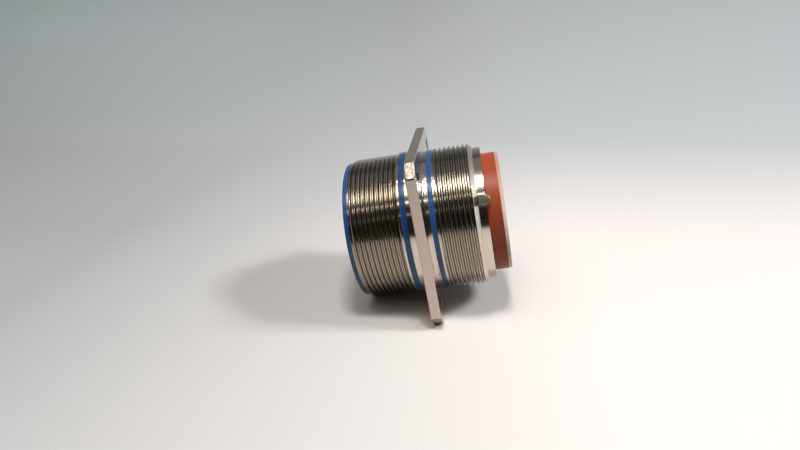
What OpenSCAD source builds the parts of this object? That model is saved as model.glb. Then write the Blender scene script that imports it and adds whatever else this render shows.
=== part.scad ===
// Square-flange circular connector receptacle with crimp socket contacts.
// The connector's axis lies along X, with the mating end towards -X and the wires towards +X.
// The origin is on that axis, in the flange's rear face, which seats on the panel.

/* [Flange] */
// Distance between the mounting holes along a side of the flange
hole_spacing = 39.67; // [39:0.01:44]
// Diameter of a mounting hole
hole_d = 3.73; // [3:0.01:4.5]
// Distance from a mounting hole's centre to the side of the flange
hole_edge = 5.565; // [4.5:0.005:7]
// Distance that the rounded corners fall short of a square's corners
corner_cut = 2.7; // [1:0.1:3.2]
// Thickness of the flange
flange_t = 3; // [2:0.1:5]

/* [Coupling end] */
// Major diameter of the coupling thread
coupling_thread_d = 44.3; // [44:0.05:47]
// Length of the coupling thread
coupling_thread_len = 14.8; // [12:0.1:20]
// Height of the land beside the flange above the thread's crests
coupling_land_step = 0.3; // [0.1:0.05:1]
// Length of the land between the coupling thread and the flange
coupling_land_len = 4.4; // [4:0.1:8]
// Depth of the front lip below the thread's crests
lip_step = 0.75; // [0.3:0.05:0.9]
// Length of the front lip
lip_len = 1.6; // [1.5:0.1:4]

/* [Accessory end] */
// Major diameter of the accessory thread
accessory_thread_d = 44.2; // [43.5:0.05:46]
// Length of the accessory thread
accessory_thread_len = 10.2; // [9:0.1:16]
// Depth of the land beside the flange below the thread's crests
accessory_land_step = 0.25; // [0.25:0.05:0.6]
// Length of the land between the flange and the accessory thread
accessory_land_len = 3.6; // [3.2:0.1:6]
// Length of the cone that ends the accessory thread
thread_cone_len = 1.3; // [0.5:0.1:2]
// Diameter of the plain neck at the rear
neck_d = 41; // [40.2:0.1:43]
// Length of the neck behind the cone
neck_len = 2.35; // [2:0.05:5]
// Width of the relief groove beside the flange's rear face
relief_w = 0.9; // [0.3:0.1:1]
// Depth of that relief groove
relief_depth = 0.25; // [0.1:0.05:0.5]

/* [Accessory key] */
// Angle of the key round the axis, from +Y towards +Z
key_angle = 150; // [0:1:359]
// Width of the key
key_w = 3; // [1.5:0.1:4]
// Height of the key above the neck
key_h = 1.1; // [0.5:0.05:1.5]
// Length of the key past the end of the shell
key_overhang = 1.05; // [0.3:0.05:2]
// Gap between the key and the cone in front of it
key_gap = 0.2; // [0.1:0.05:0.25]

/* [Colour bands] */
// Depth of the paint, flush in its shallow groove
band_depth = 0.15; // [0.05:0.01:0.25]
// Width of the band on the front lip
lip_band_w = 1.3; // [0.5:0.1:1.4]
// Width of the band in front of the flange
coupling_band_w = 1.7; // [0.5:0.1:1.8]
// Distance from the flange to the band in front of it
coupling_band_gap = 2.1; // [0.5:0.1:2.1]
// Width of the band behind the flange
accessory_band_w = 1.5; // [0.5:0.1:1.6]
// Distance from the flange to the band behind it
accessory_band_gap = 1.4; // [1.1:0.1:1.5]

/* [Mating bore] */
// Thickness of the barrel from the coupling thread's crests to the bore that takes the plug
coupling_wall = 2.75; // [2.55:0.05:3.15]
// Depth of that bore
mating_depth = 13.2; // [9:0.1:15]
// Chamfer at its mouth
mouth_chamfer = 0.4; // [0.1:0.05:0.6]
// Width of the main polarising keyway
main_keyway_w = 3.2; // [2:0.1:5]
// Width of each minor keyway
minor_keyway_w = 1.9; // [1:0.1:3]
// Depth of the keyways
keyway_depth = 0.9; // [0.4:0.05:1]
// Length of the keyways from the mouth
keyway_len = 11.5; // [6:0.1:12]

/* [Insert seat] */
// Thickness of the web that the inserts seat on
web_t = 2; // [1:0.1:4]
// Width of the ledge on the web that the inserts seat against
seat_ledge = 1.3; // [0.8:0.1:1.5]
// Thickness of the neck from its outside to the rear bore that holds the inserts
rear_wall = 2; // [1.4:0.1:2.2]
// Radial gap round the inserts
insert_gap = 0.15; // [0.05:0.05:0.3]
// Depth of the front insert's face below the web
face_recess = 0.1; // [0:0.05:0.5]

/* [Inserts and grommet] */
// Length of the front insert behind the web
front_insert_len = 8; // [7:0.1:11]
// Length of the retention disc
disc_len = 6; // [5.2:0.1:8]
// Radial gap round the grommet
grommet_gap = 0.25; // [0.1:0.05:0.4]
// Length of the grommet past the end of the shell
grommet_overhang = 4.95; // [2:0.05:8]
// Diameter of a wire hole through the grommet
wire_hole_d = 1.8; // [1.2:0.05:2.1]
// Diameter of a wire hole's funnel at the rear face
wire_funnel_d = 2.8; // [2.2:0.05:3.6]

/* [Retaining ring] */
// Thickness of the ring along the axis
ring_t = 1; // [0.5:0.1:1.5]
// Depth of the ring's groove in the rear bore
ring_groove_depth = 1; // [0.5:0.1:1.2]
// Reach of the ring over the edge of the inserts
ring_lap = 0.9; // [0.5:0.1:1.2]
// Width of the split in the ring
ring_split = 6; // [2:0.5:12]
// Gap between the ring and the walls of its groove
ring_gap = 0.05; // [0.02:0.01:0.1]

/* [Contacts] */
// Number of rings of contacts round the middle one
contact_rings = 3; // [1:1:3]
// Distance from the outer ring of contacts to the edge of the front insert's face
contact_edge = 2.8; // [2.65:0.05:3.8]
// Diameter of the mating pins
pin_d = 1.59; // [1.2:0.01:1.7]
// Gap on the diameter between a pin and the hole that it enters
pin_entry_gap = 0.21; // [0.1:0.01:0.3]
// Thickness of the insert in front of the sockets
entry_t = 1.6; // [1:0.1:2]
// Outer diameter of a socket's slotted end
socket_d = 2.26; // [2.1:0.02:2.3]
// Width of the slots between a socket's fingers
slot_w = 0.25; // [0.15:0.05:0.4]
// Depth of a socket
socket_depth = 6; // [4:0.1:6]
// Diameter of a contact's collar
collar_d = 3.24; // [3.1:0.02:3.4]
// Length of a contact's collar
collar_len = 1.2; // [0.8:0.1:2]
// Outer diameter of a crimp barrel
barrel_d = 2.6; // [2.4:0.02:2.6]
// Length of a crimp barrel behind its collar
barrel_len = 9; // [8:0.1:10]
// Diameter of the wire bore in a crimp barrel
barrel_bore_d = 1.74; // [1.2:0.02:1.9]
// Depth of that wire bore
barrel_bore_depth = 6; // [4:0.1:6.5]
// Diameter of the inspection hole in a crimp barrel
inspection_d = 0.7; // [0.4:0.05:0.9]
// Thickness of a hood's wall
hood_t = 0.15; // [0.1:0.01:0.2]
// Length of a hood
hood_len = 5.4; // [3:0.1:6]
// Thickness of a clip's wall
clip_t = 0.15; // [0.1:0.01:0.2]
// Length of a clip
clip_len = 4; // [3.2:0.1:4.2]
// Length of the tapered fingers of a clip
clip_finger_len = 1.4; // [0.8:0.1:2]
// Width of the slit along a clip
clip_slit = 0.5; // [0.2:0.05:0.8]
// Radial gap round pieces that fit in one another inside the inserts
contact_gap = 0.05; // [0.02:0.01:0.08]

/* [Hidden] */
$fn = 96;
// Overlap of cutting shapes past the faces that they cut
cut = 1;
// Angles of the four minor keyways from the main one
MINOR_KEYWAYS = [105, 140, 215, 265];
// Angle of the main keyway round the axis, at the top of the flange
main_keyway_angle = 90;

flange_side = hole_spacing + 2 * hole_edge;
flange_corner_r = flange_side / 2 * sqrt(2) - corner_cut;

// Places along the axis, from the front
flange_front_x = -flange_t;
coupling_band_x = flange_front_x - coupling_band_gap - coupling_band_w;
coupling_thread_end_x = flange_front_x - coupling_land_len;
lip_start_x = coupling_thread_end_x - coupling_thread_len;
front_x = lip_start_x - lip_len;
web_front_x = front_x + mating_depth;
seat_x = web_front_x + web_t;
disc_x = seat_x + front_insert_len;
disc_end_x = disc_x + disc_len;
groove_end_x = disc_end_x + ring_t + 2 * ring_gap;
accessory_thread_x = accessory_land_len;
cone_x = accessory_thread_x + accessory_thread_len;
neck_x = cone_x + thread_cone_len;
rear_x = neck_x + neck_len;
grommet_end_x = rear_x + grommet_overhang;

// Radii
coupling_r = coupling_thread_d / 2;
coupling_land_r = coupling_r + coupling_land_step;
lip_r = coupling_r - lip_step;
accessory_r = accessory_thread_d / 2;
accessory_land_r = accessory_r - accessory_land_step;
neck_r = neck_d / 2;
key_top_r = neck_r + key_h;
mating_r = coupling_r - coupling_wall;
rear_bore_r = neck_r - rear_wall;
web_bore_r = rear_bore_r - seat_ledge;
groove_r = rear_bore_r + ring_groove_depth;
ring_inner_r = rear_bore_r - ring_lap;
insert_r = rear_bore_r - insert_gap;
boss_r = web_bore_r - insert_gap;
grommet_r = rear_bore_r - grommet_gap;

// Contacts and the holes that hold them
contact_pitch = (boss_r - contact_edge) / contact_rings;
entry_r = (pin_d + pin_entry_gap) / 2;
socket_r = socket_d / 2;
socket_bore_r = pin_d / 2 + contact_gap / 2;
hood_inner_r = socket_r + contact_gap / 2;
hood_r = hood_inner_r + hood_t;
cavity_r = hood_r + contact_gap;
collar_r = collar_d / 2;
barrel_r = barrel_d / 2;
clip_inner_r = collar_r + contact_gap;
clip_r = clip_inner_r + clip_t;
pocket_r = clip_r + contact_gap;
finger_inner_r = barrel_r + contact_gap;
socket_x = web_front_x + face_recess + entry_t + contact_gap;
collar_x = disc_x + contact_gap;
collar_end_x = collar_x + collar_len;
barrel_end_x = collar_end_x + barrel_len;
clip_x = collar_end_x + contact_gap;
clip_end_x = clip_x + clip_len;

// Contact places in the plane across the axis: one in the middle, then rings of 6, 12 and 18
function ring_places(ring) = [
    for (i = [0:6 * ring - 1])
        let (angle = 90 + i * 60 / ring)
        [ring * contact_pitch * cos(angle), ring * contact_pitch * sin(angle)]
];
CONTACTS = concat([[0, 0]], [for (ring = [1:contact_rings]) each ring_places(ring)]);
function contact_name(i) = str("contact_", i < 9 ? "0" : "", i + 1);

// Turns a profile of [radius, place along the axis] points round the X axis
module turned(points) {
    rotate([0, 90, 0])
        rotate_extrude()
            polygon(points);
}

// Straight round rod along the X axis from x0 to x1
module rod(r, x0, x1) {
    translate([x0, 0, 0])
        rotate([0, 90, 0])
            cylinder(r = r, h = x1 - x0);
}

// Ring along the X axis from x0 to x1
module tube(outer_r, inner_r, x0, x1) {
    difference() {
        rod(outer_r, x0, x1);
        rod(inner_r, x0 - cut, x1 + cut);
    }
}

// Copies its children to every contact place
module at_contacts() {
    for (place = CONTACTS)
        translate([0, place[0], place[1]])
            children();
}

// Square plate with corners rounded by the bar that it is turned from, and four mounting holes
module flange_plate() {
    difference() {
        intersection() {
            translate([flange_front_x, -flange_side / 2, -flange_side / 2])
                cube([flange_t, flange_side, flange_side]);
            rod(flange_corner_r, flange_front_x, 0);
        }
        for (y = [-1, 1], z = [-1, 1])
            translate([0, y * hole_spacing / 2, z * hole_spacing / 2])
                rod(hole_d / 2, flange_front_x - cut, cut);
    }
}

// Outside of the two barrels, the lands and the neck
module barrels() {
    turned([
        [0, front_x],
        [lip_r, front_x],
        [lip_r, lip_start_x],
        [coupling_r, lip_start_x + lip_step],
        [coupling_r, coupling_thread_end_x],
        [coupling_land_r, coupling_thread_end_x],
        [coupling_land_r, flange_front_x + flange_t / 2],
        [accessory_land_r - relief_depth, flange_front_x + flange_t / 2],
        [accessory_land_r - relief_depth, relief_w],
        [accessory_land_r, relief_w],
        [accessory_land_r, accessory_thread_x],
        [accessory_r, accessory_thread_x],
        [accessory_r, cone_x],
        [neck_r, neck_x],
        [neck_r, rear_x],
        [0, rear_x]
    ]);
}

// Mating bore, web hole, rear bore and ring groove
module bores() {
    turned([
        [0, front_x - cut],
        [mating_r + mouth_chamfer + cut, front_x - cut],
        [mating_r, front_x + mouth_chamfer],
        [mating_r, web_front_x],
        [web_bore_r, web_front_x],
        [web_bore_r, seat_x],
        [rear_bore_r, seat_x],
        [rear_bore_r, disc_end_x],
        [groove_r, disc_end_x],
        [groove_r, groove_end_x],
        [rear_bore_r, groove_end_x],
        [rear_bore_r, rear_x + cut],
        [0, rear_x + cut]
    ]);
}

// One straight keyway along the mating bore's wall
module keyway(angle, width) {
    rotate([angle, 0, 0])
        translate([front_x - cut, 0, -width / 2])
            cube([keyway_len + cut, mating_r + keyway_depth, width]);
}

// Round-ended tongue that stands on the neck and keys an accessory
module accessory_key() {
    tongue_x = neck_x + key_gap;
    tongue_end_x = rear_x + key_overhang - key_w / 2;
    tongue_foot_r = (rear_bore_r + neck_r) / 2;
    rotate([key_angle - 90, 0, 0])
        translate([0, 0, tongue_foot_r]) {
            translate([tongue_x, -key_w / 2, 0])
                cube([tongue_end_x - tongue_x, key_w, key_top_r - tongue_foot_r]);
            translate([tongue_end_x, 0, 0])
                cylinder(d = key_w, h = key_top_r - tongue_foot_r);
        }
}

module shell() {
    color([0.72, 0.70, 0.66])
        difference() {
            union() {
                barrels();
                flange_plate();
                accessory_key();
            }
            bores();
            keyway(main_keyway_angle, main_keyway_w);
            for (angle = MINOR_KEYWAYS)
                keyway(main_keyway_angle + angle, minor_keyway_w);
            band_ring(lip_r, cut, front_x - cut, lip_band_w + cut);
            band_ring(coupling_land_r, cut, coupling_band_x, coupling_band_w);
            band_ring(accessory_land_r, cut, accessory_band_gap, accessory_band_w);
        }
}

// Ring of paint in a wall of radius r, or with a rise above 0 the cut for its groove
module band_ring(r, rise, x, width) {
    tube(r + rise, r - band_depth, x, x + width);
}

module lip_band() {
    color([0.10, 0.22, 0.52])
        band_ring(lip_r, 0, front_x, lip_band_w);
}

module coupling_band() {
    color([0.10, 0.22, 0.52])
        band_ring(coupling_land_r, 0, coupling_band_x, coupling_band_w);
}

module accessory_band() {
    color([0.10, 0.22, 0.52])
        band_ring(accessory_land_r, 0, accessory_band_gap, accessory_band_w);
}

// Hard block with a lead-in, an entry hole and a socket cavity for each contact
module front_insert() {
    face_x = web_front_x + face_recess;
    lead = entry_r / 2;
    color([0.13, 0.12, 0.11])
        difference() {
            union() {
                rod(boss_r, face_x, disc_x);
                rod(insert_r, seat_x, disc_x);
            }
            at_contacts()
                turned([
                    [0, face_x - cut],
                    [entry_r + lead + cut, face_x - cut],
                    [entry_r, face_x + lead],
                    [entry_r, face_x + entry_t],
                    [cavity_r, face_x + entry_t],
                    [cavity_r, disc_x + cut],
                    [0, disc_x + cut]
                ]);
        }
}

// Hard disc with a pocket for each clip, closed behind it by a shoulder that the barrel passes
module retention_disc() {
    color([0.16, 0.15, 0.14])
        difference() {
            rod(insert_r, disc_x, disc_end_x);
            at_contacts()
                turned([
                    [0, disc_x - cut],
                    [pocket_r, disc_x - cut],
                    [pocket_r, clip_end_x + contact_gap],
                    [clip_inner_r, clip_end_x + contact_gap],
                    [clip_inner_r, disc_end_x + cut],
                    [0, disc_end_x + cut]
                ]);
        }
}

// Slit spring sleeve with fingers that taper down behind the collar
module clip() {
    finger_end_x = clip_x + clip_finger_len;
    difference() {
        turned([
            [clip_r, clip_x + clip_t],
            [clip_r, clip_end_x],
            [clip_inner_r, clip_end_x],
            [clip_inner_r, finger_end_x],
            [finger_inner_r, clip_x],
            [finger_inner_r + clip_t, clip_x],
            [clip_inner_r, finger_end_x - 2 * clip_t],
            [clip_inner_r, clip_x + clip_t]
        ]);
        translate([clip_x - cut, -clip_slit / 2, 0])
            cube([clip_len + 2 * cut, clip_slit, clip_r + cut]);
    }
}

module retention_clips() {
    color([0.80, 0.66, 0.36])
        at_contacts()
            clip();
}

module socket_hoods() {
    color([0.70, 0.70, 0.70])
        at_contacts()
            tube(hood_r, hood_inner_r, socket_x, socket_x + hood_len);
}

// Split flat ring in the groove behind the retention disc
module insert_ring() {
    x0 = disc_end_x + ring_gap;
    color([0.62, 0.62, 0.62])
        difference() {
            tube(groove_r - ring_gap, ring_inner_r, x0, x0 + ring_t);
            translate([x0 - cut, -ring_split / 2, -groove_r - cut])
                cube([ring_t + 2 * cut, ring_split, groove_r + cut]);
        }
}

// Silicone block with a waist inside the ring and a funnelled hole for each wire
module grommet() {
    waist_r = ring_inner_r - contact_gap;
    funnel = (wire_funnel_d - wire_hole_d) / 2;
    color([0.80, 0.22, 0.08])
        difference() {
            union() {
                rod(waist_r, disc_end_x, grommet_end_x);
                rod(grommet_r, groove_end_x, grommet_end_x);
            }
            at_contacts()
                turned([
                    [0, disc_end_x - cut],
                    [barrel_r + contact_gap, disc_end_x - cut],
                    [barrel_r + contact_gap, barrel_end_x + contact_gap],
                    [wire_hole_d / 2, barrel_end_x + contact_gap],
                    [wire_hole_d / 2, grommet_end_x - funnel],
                    [wire_funnel_d / 2 + cut, grommet_end_x + cut],
                    [0, grommet_end_x + cut]
                ]);
        }
}

// Socket contact: slotted socket in front, collar, then a crimp barrel with its inspection hole
module contact(place) {
    inspection_x = barrel_end_x - barrel_bore_depth + inspection_d;
    slot_len = socket_depth - slot_w;
    color([0.83, 0.64, 0.28])
        translate([0, place[0], place[1]])
            difference() {
                turned([
                    [socket_bore_r, socket_x],
                    [socket_r, socket_x],
                    [socket_r, collar_x],
                    [collar_r, collar_x],
                    [collar_r, collar_end_x],
                    [barrel_r, collar_end_x],
                    [barrel_r, barrel_end_x],
                    [barrel_bore_d / 2, barrel_end_x],
                    [barrel_bore_d / 2, barrel_end_x - barrel_bore_depth],
                    [0, barrel_end_x - barrel_bore_depth],
                    [0, socket_x + socket_depth],
                    [socket_bore_r, socket_x + socket_depth]
                ]);
                for (turn = [0, 90])
                    rotate([turn, 0, 0])
                        translate([socket_x - cut, -slot_w / 2, -socket_r - cut])
                            cube([slot_len + cut, slot_w, 2 * (socket_r + cut)]);
                translate([inspection_x, 0, 0])
                    cylinder(d = inspection_d, h = barrel_r + cut);
            }
}

shell();
lip_band();
coupling_band();
accessory_band();
front_insert();
retention_disc();
retention_clips();
socket_hoods();
insert_ring();
grommet();
for (i = [0:len(CONTACTS) - 1])
    contact(CONTACTS[i]);
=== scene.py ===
import bmesh
import bpy
import numpy as np
from mathutils import Matrix, Vector
from mathutils.geometry import delaunay_2d_cdt


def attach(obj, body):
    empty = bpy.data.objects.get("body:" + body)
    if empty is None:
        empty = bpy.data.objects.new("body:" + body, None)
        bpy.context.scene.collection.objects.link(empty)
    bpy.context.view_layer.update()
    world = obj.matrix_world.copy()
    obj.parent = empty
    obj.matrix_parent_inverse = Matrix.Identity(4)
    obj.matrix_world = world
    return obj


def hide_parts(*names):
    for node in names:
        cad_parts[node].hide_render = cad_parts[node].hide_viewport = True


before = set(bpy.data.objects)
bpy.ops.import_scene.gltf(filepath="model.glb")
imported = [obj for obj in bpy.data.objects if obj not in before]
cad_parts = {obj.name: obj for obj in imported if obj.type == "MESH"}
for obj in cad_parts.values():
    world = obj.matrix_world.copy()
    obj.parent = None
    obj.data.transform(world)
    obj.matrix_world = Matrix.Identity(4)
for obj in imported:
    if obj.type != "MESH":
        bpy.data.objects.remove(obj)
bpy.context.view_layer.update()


# Shell: one piece turned from aluminium bar and milled to a square flange, then nickel plated. It has a
# coupling thread in front, an accessory thread behind, lands and a plain neck, and keyways in its mouth.
# The thread is cut as a real helix, and the flange keeps the bar's round skin on its four corners.
MM = 0.001
COLUMNS = 240
QUARTER = COLUMNS // 4
TURN = np.linspace(0.0, 2.0 * np.pi, COLUMNS + 1)
WELD_M, SLIVER_M = 2e-6, 1e-7
ONLY_FINISH = 0
TURNED, MILLED = 0, 1

THREAD_PITCH = 25.4 / 18
THREAD_DEPTH = 0.82
THREAD_CREST = 0.25
THREAD_ROOT = 0.32
THREAD_EASE, THREAD_EASE_DROP = 0.040, 0.03
COUPLING_START, ACCESSORY_START = 0.50, 0.69
COUPLING_RUN_OUT, ACCESSORY_RUN_IN, CONE_OVERLAP, SPARE_TURNS = 1.1, 0.4, 0.7, 3

FLANGE_FRONT, FLANGE_BACK = -3.0, 0.0
COUPLING_R, COUPLING_FRONT, COUPLING_BACK = 22.15, -22.2, -7.4
COUPLING_LAND_R, COUPLING_GROOVE, LAND_CHAMFER = 22.45, (-6.8, -5.1), 0.1
LIP_R, LIP_GROOVE_END, FRONT_X, LIP_BREAK = 21.4, -22.5, -23.8, 0.06
ACCESSORY_R, ACCESSORY_FRONT, CONE_FRONT, NECK_FRONT = 22.1, 3.6, 13.8, 15.1
ACCESSORY_LAND_R, ACCESSORY_GROOVE, RELIEF_R, RELIEF_END = 21.85, (1.4, 2.9), 21.6, 0.9
RELIEF_BREAK = 0.05
NECK_R, REAR_X, REAR_BORE_R, REAR_CHAMFER = 20.5, 17.45, 18.5, 0.2
NECK_BLEND, NECK_BLEND_RISE = 0.05, 0.06
REAR_EDGE, REAR_EDGE_MIDDLE = 0.16, 0.047
BAND_DEPTH, GROOVE_BREAK = 0.15, 0.03
FILLET, FILLET_MIDDLE = 0.15, 0.044
MATING_R, MOUTH_CHAMFER = 19.4, 0.4
WEB_FRONT, WEB_BACK, WEB_BORE_R, WEB_CHAMFER = -10.6, -8.6, 17.2, 0.1
RING_GROOVE, RING_GROOVE_R = (5.4, 6.5), 19.5
KEYWAY_FLOOR, KEYWAY_END = 20.3, -12.3
KEYWAYS = ((90, 3.2), (195, 1.9), (230, 1.9), (305, 1.9), (355, 1.9))


def grid_faces(rows, columns):
    """Quads between neighbouring rows and columns of a grid of points that are numbered row by row."""
    n = np.arange(rows * columns).reshape(rows, columns)
    return np.stack([n[:-1, :-1], n[:-1, 1:], n[1:, 1:], n[1:, :-1]], -1).reshape(-1, 4)


def grid_part(grid, finish=ONLY_FINISH):
    """Part of a piece from a grid of points: its points in a row, its quads and its number among the piece's
    finishes."""
    return grid.reshape(-1, 3), grid_faces(*grid.shape[:2]), finish


def round_points(x, r, angle):
    """Points at distance r from the connector's axis, at x along it and at an angle from +Y towards +Z."""
    x, r, angle = np.broadcast_arrays(x, r, angle)
    return np.stack([x, r * np.cos(angle), r * np.sin(angle)], -1)


def gather(parts):
    """One array of points and one list of faces from parts of (points, faces, finish): the faces of each part
    count on from the points of the parts before it."""
    counts = np.cumsum([0] + [len(p) for p, _, _ in parts])
    points = np.concatenate([p for p, _, _ in parts])
    faces = [face for (_, f, _), n in zip(parts, counts) for face in (f + n).tolist()]
    finish = np.concatenate([np.full(len(f), s) for _, f, s in parts])
    return points, faces, finish


def welded_piece(name, parts, materials, sharp=35):
    """Object from parts in millimetres: points closer than the weld become one, faces that collapse go, and
    the faces of each closed form turn outwards. Edges up to the sharp angle are shaded smooth."""
    points, faces, finish = gather(parts)
    mesh = bpy.data.meshes.new(name)
    mesh.from_pydata((points * MM).tolist(), [], faces)
    mesh.polygons.foreach_set("material_index", finish.astype(np.int32))
    work = bmesh.new()
    work.from_mesh(mesh)
    bmesh.ops.remove_doubles(work, verts=work.verts, dist=WELD_M)
    bmesh.ops.dissolve_degenerate(work, edges=work.edges, dist=SLIVER_M)
    bmesh.ops.recalc_face_normals(work, faces=work.faces)
    work.to_mesh(mesh)
    work.free()
    for material in materials:
        mesh.materials.append(material)
    mesh.shade_smooth()
    mesh.set_sharp_from_angle(angle=np.radians(sharp))
    piece = bpy.data.objects.new(name, mesh)
    bpy.context.scene.collection.objects.link(piece)
    weighted = piece.modifiers.new("flats", "WEIGHTED_NORMAL")
    weighted.keep_sharp = True
    return piece


def thread_corners():
    """Distances from the middle of a crest to the corners of the thread's profile: the eased ends of the
    crest flat, then the eased ends of the root flat."""
    crest, root = THREAD_CREST / 2, THREAD_PITCH / 2 - THREAD_ROOT / 2
    half = THREAD_EASE / 2
    return crest - half, crest + half, root - half, root + half


def thread_fall(x, angle, start):
    """Depth of a single-start thread below its crest: a trapezium wave of x less one pitch for each turn,
    with a crest flat, straight flanks and a root flat, each corner eased. At angle 0 a crest stands at
    start."""
    along = (x - start) / THREAD_PITCH - angle / (2 * np.pi)
    off_crest = np.abs(along - np.round(along)) * THREAD_PITCH
    low, deep = THREAD_EASE_DROP, THREAD_DEPTH - THREAD_EASE_DROP
    return np.interp(
        off_crest, [0, *thread_corners(), THREAD_PITCH], [0, 0, low, deep, THREAD_DEPTH, THREAD_DEPTH])


def thread_rows(low, high, start):
    """Places along the axis of a thread's rows, one row of the array for each corner of the profile and one
    for the middle of each flank: every row climbs one pitch in a turn, and is held at the thread's ends."""
    corners = np.array(thread_corners())
    side = np.insert(corners, 2, corners.mean())
    base = start + np.sort(np.concatenate([side, THREAD_PITCH - side]))
    turns = np.arange(np.floor(low / THREAD_PITCH) - SPARE_TURNS, np.ceil(high / THREAD_PITCH) + SPARE_TURNS)
    rows = (turns[:, None] * THREAD_PITCH + base).ravel()
    rows = rows[(rows > low - THREAD_PITCH) & (rows < high)]
    rows = np.concatenate([[low - THREAD_PITCH], rows, [high]])
    return np.clip(rows[:, None] + THREAD_PITCH * TURN / (2 * np.pi), low, high)


def smooth_step(t):
    """0 below 0, 1 above 1 and an S-shaped rise between them."""
    t = np.clip(t, 0, 1)
    return t * t * (3 - 2 * t)


def keyed_row(x, r):
    """Row round the mating bore: radius r, and in each keyway the distance to its flat floor. The columns
    beside a keyway are moved onto its edges, so that its walls stand straight."""
    angle, radius = TURN.copy(), np.full(COLUMNS + 1, r)
    for degrees, width in KEYWAYS:
        centre = np.radians(degrees)
        edge, foot = np.arcsin(width / 2 / r), np.arctan(width / 2 / KEYWAY_FLOOR)
        first = int(round((centre - edge) / TURN[1]))
        last = int(round((centre + edge) / TURN[1]))
        angle[[first, first + 1, last - 1, last]] = centre + np.array([-edge, -foot, foot, edge])
        inside = slice(first + 1, last)
        radius[inside] = KEYWAY_FLOOR / np.cos(angle[inside] - centre)
    return round_points(x, radius, angle)[None]


def plain_rows(profile):
    """Rows of full circles for a list of (x, radius)."""
    x, r = np.array(profile, float).T[:, :, None]
    return round_points(x, r, TURN)


def band_groove(edges, r):
    """Profile of a paint groove in a land of radius r, from its back to its front: a broken edge, a straight
    wall, a flat floor, a wall and an edge again."""
    front, back = edges
    floor, broken = r - BAND_DEPTH, r - GROOVE_BREAK
    return [
        (back + GROOVE_BREAK, r), (back, broken), (back, floor),
        (front, floor), (front, broken), (front - GROOVE_BREAK, r),
    ]


coupling_land = plain_rows([
    (FLANGE_FRONT, COUPLING_LAND_R + FILLET),
    (FLANGE_FRONT - FILLET_MIDDLE, COUPLING_LAND_R + FILLET_MIDDLE),
    (FLANGE_FRONT - FILLET, COUPLING_LAND_R),
    *band_groove(COUPLING_GROOVE, COUPLING_LAND_R),
    (COUPLING_BACK + LAND_CHAMFER, COUPLING_LAND_R),
    (COUPLING_BACK, COUPLING_LAND_R - LAND_CHAMFER),
])
x = thread_rows(COUPLING_FRONT, COUPLING_BACK, COUPLING_START)
fade = smooth_step((COUPLING_BACK - x) / COUPLING_RUN_OUT)
r = COUPLING_R - thread_fall(x, TURN, COUPLING_START) * fade
coupling_thread = round_points(x, np.minimum(r, LIP_R + (x - COUPLING_FRONT)), TURN)[::-1]
lip_floor = LIP_R - BAND_DEPTH
lip = plain_rows([
    (COUPLING_FRONT, LIP_R), (LIP_GROOVE_END + GROOVE_BREAK, LIP_R), (LIP_GROOVE_END, LIP_R - GROOVE_BREAK),
    (LIP_GROOVE_END, lip_floor), (FRONT_X + LIP_BREAK, lip_floor), (FRONT_X, lip_floor - LIP_BREAK),
])
mouth = np.concatenate([
    keyed_row(FRONT_X, MATING_R + MOUTH_CHAMFER),
    keyed_row(FRONT_X + MOUTH_CHAMFER, MATING_R),
    keyed_row(KEYWAY_END, MATING_R),
])
inside = plain_rows([
    (KEYWAY_END, MATING_R), (WEB_FRONT - FILLET, MATING_R),
    (WEB_FRONT - FILLET_MIDDLE, MATING_R - FILLET_MIDDLE), (WEB_FRONT, MATING_R - FILLET),
    (WEB_FRONT, WEB_BORE_R + WEB_CHAMFER), (WEB_FRONT + WEB_CHAMFER, WEB_BORE_R),
    (WEB_BACK - WEB_CHAMFER, WEB_BORE_R), (WEB_BACK, WEB_BORE_R + WEB_CHAMFER), (WEB_BACK, REAR_BORE_R),
    (RING_GROOVE[0], REAR_BORE_R), (RING_GROOVE[0], RING_GROOVE_R),
    (RING_GROOVE[1], RING_GROOVE_R), (RING_GROOVE[1], REAR_BORE_R),
    (REAR_X - REAR_CHAMFER, REAR_BORE_R), (REAR_X, REAR_BORE_R + REAR_CHAMFER),
    (REAR_X, NECK_R - REAR_EDGE), (REAR_X - REAR_EDGE_MIDDLE, NECK_R - REAR_EDGE_MIDDLE),
    (REAR_X - REAR_EDGE, NECK_R),
    (NECK_FRONT + NECK_BLEND, NECK_R), (NECK_FRONT - NECK_BLEND, NECK_R + NECK_BLEND_RISE),
])
cone_slope = (ACCESSORY_R - NECK_R) / (NECK_FRONT - CONE_FRONT)
x = thread_rows(ACCESSORY_FRONT, CONE_FRONT + CONE_OVERLAP, ACCESSORY_START)
r = ACCESSORY_R - ACCESSORY_LAND_R - thread_fall(x, TURN, ACCESSORY_START)
r = ACCESSORY_LAND_R + r * smooth_step((x - ACCESSORY_FRONT) / ACCESSORY_RUN_IN)
accessory_thread = round_points(x, np.minimum(r, NECK_R + (NECK_FRONT - x) * cone_slope), TURN)[::-1]
accessory_land = plain_rows([
    *band_groove(ACCESSORY_GROOVE, ACCESSORY_LAND_R),
    (RELIEF_END + RELIEF_BREAK, ACCESSORY_LAND_R), (RELIEF_END, ACCESSORY_LAND_R - RELIEF_BREAK),
    (RELIEF_END, RELIEF_R), (FLANGE_BACK + FILLET, RELIEF_R),
    (FLANGE_BACK + FILLET_MIDDLE, RELIEF_R + FILLET_MIDDLE), (FLANGE_BACK, RELIEF_R + FILLET),
])
barrel = np.concatenate([
    coupling_land, coupling_thread, lip, mouth, inside, accessory_thread, accessory_land,
])
shell_parts = [grid_part(barrel, TURNED)]

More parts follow.
